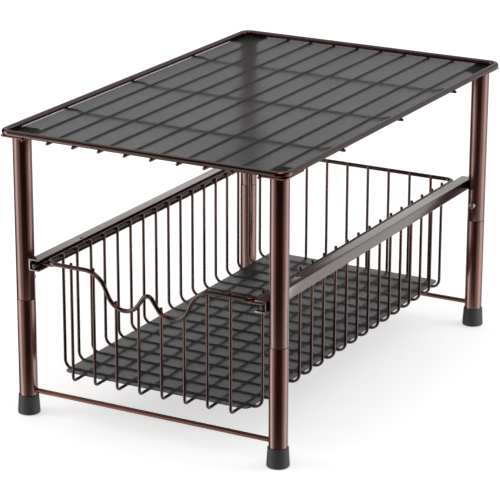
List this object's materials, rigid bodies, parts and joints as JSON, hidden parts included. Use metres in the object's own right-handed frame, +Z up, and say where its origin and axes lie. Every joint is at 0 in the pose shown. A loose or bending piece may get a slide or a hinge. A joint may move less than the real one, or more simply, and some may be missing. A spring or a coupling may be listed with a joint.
{
  "type": "pull out cabinet basket",
  "caption": "Wire basket that slides out on two side channels under a wire shelf with four tube legs, with a wavy front rim as its handle and plastic liners.",
  "frame": {"origin": "on the floor, under the middle of the shelf", "axes": "+Z up, -Y towards the front with the wave handle, the way the basket pulls out, +X to the right when seen from the front"},
  "size_m": [0.287, 0.45, 0.269],
  "materials": {
    "bronze_tube": "glossy dark bronze coat on steel tube",
    "bronze_wire": "glossy dark bronze coat on steel rod",
    "rail_bronze": "glossy bronze coat on flat steel sheet",
    "button_steel": "plain grey steel",
    "inner_steel": "plain steel, hidden",
    "foot_rubber": "matte dark grey rubber",
    "shelf_sheet": "satin smoke grey see-through sheet",
    "basket_sheet": "satin dark grey sheet"
  },
  "bodies": {
    "frame": {"shelf_rim": "bronze_wire", "shelf_long_wires": "bronze_wire", "shelf_cross_wires": "bronze_wire", "shelf_liner": "shelf_sheet", "corner_plate_front_left": "bronze_tube", "corner_plate_front_right": "bronze_tube", "corner_plate_back_left": "bronze_tube", "corner_plate_back_right": "bronze_tube", "upper_leg_front_left": "bronze_tube", "upper_leg_front_right": "bronze_tube", "upper_leg_back_left": "bronze_tube", "upper_leg_back_right": "bronze_tube", "lower_leg_front_left": "bronze_tube", "lower_leg_front_right": "bronze_tube", "lower_leg_back_left": "bronze_tube", "lower_leg_back_right": "bronze_tube", "leg_sleeve_front_left": "inner_steel", "leg_sleeve_front_right": "inner_steel", "leg_sleeve_back_left": "inner_steel", "leg_sleeve_back_right": "inner_steel", "foot_front_left": "foot_rubber", "foot_front_right": "foot_rubber", "foot_back_left": "foot_rubber", "foot_back_right": "foot_rubber", "front_bar": "bronze_wire", "back_bar": "bronze_wire", "rail_left": "rail_bronze", "rail_right": "rail_bronze", "leaf_spring_front_left": "inner_steel", "leaf_spring_front_right": "inner_steel", "leaf_spring_back_left": "inner_steel", "leaf_spring_back_right": "inner_steel"},
    "basket": {"basket_rim": "bronze_wire", "basket_side_wires": "bronze_wire", "basket_long_wires": "bronze_wire", "runner_left": "bronze_wire", "runner_right": "bronze_wire", "basket_liner": "basket_sheet"},
    "lock_button_front_left": {"lock_button_front_left": "button_steel"},
    "lock_button_front_right": {"lock_button_front_right": "button_steel"},
    "lock_button_back_left": {"lock_button_back_left": "button_steel"},
    "lock_button_back_right": {"lock_button_back_right": "button_steel"}
  },
  "joints": [
    {"name": "basket_slide", "type": "slide", "parent": "frame", "child": "basket", "axis": [0, -1, 0], "range_m": [0, 0.3382]},
    {"name": "lock_button_front_left_press", "type": "slide", "parent": "frame", "child": "lock_button_front_left", "axis": [0, -1, 0], "range_m": [0, 0.0045], "stiffness_N_per_m": 800, "springref_m": -0.001, "deforming": ["leaf_spring_front_left"]},
    {"name": "lock_button_front_right_press", "type": "slide", "parent": "frame", "child": "lock_button_front_right", "axis": [0, -1, 0], "range_m": [0, 0.0045], "stiffness_N_per_m": 800, "springref_m": -0.001, "deforming": ["leaf_spring_front_right"]},
    {"name": "lock_button_back_left_press", "type": "slide", "parent": "frame", "child": "lock_button_back_left", "axis": [0, 1, 0], "range_m": [0, 0.0045], "stiffness_N_per_m": 800, "springref_m": -0.001, "deforming": ["leaf_spring_back_left"]},
    {"name": "lock_button_back_right_press", "type": "slide", "parent": "frame", "child": "lock_button_back_right", "axis": [0, 1, 0], "range_m": [0, 0.0045], "stiffness_N_per_m": 800, "springref_m": -0.001, "deforming": ["leaf_spring_back_right"]}
  ]
}
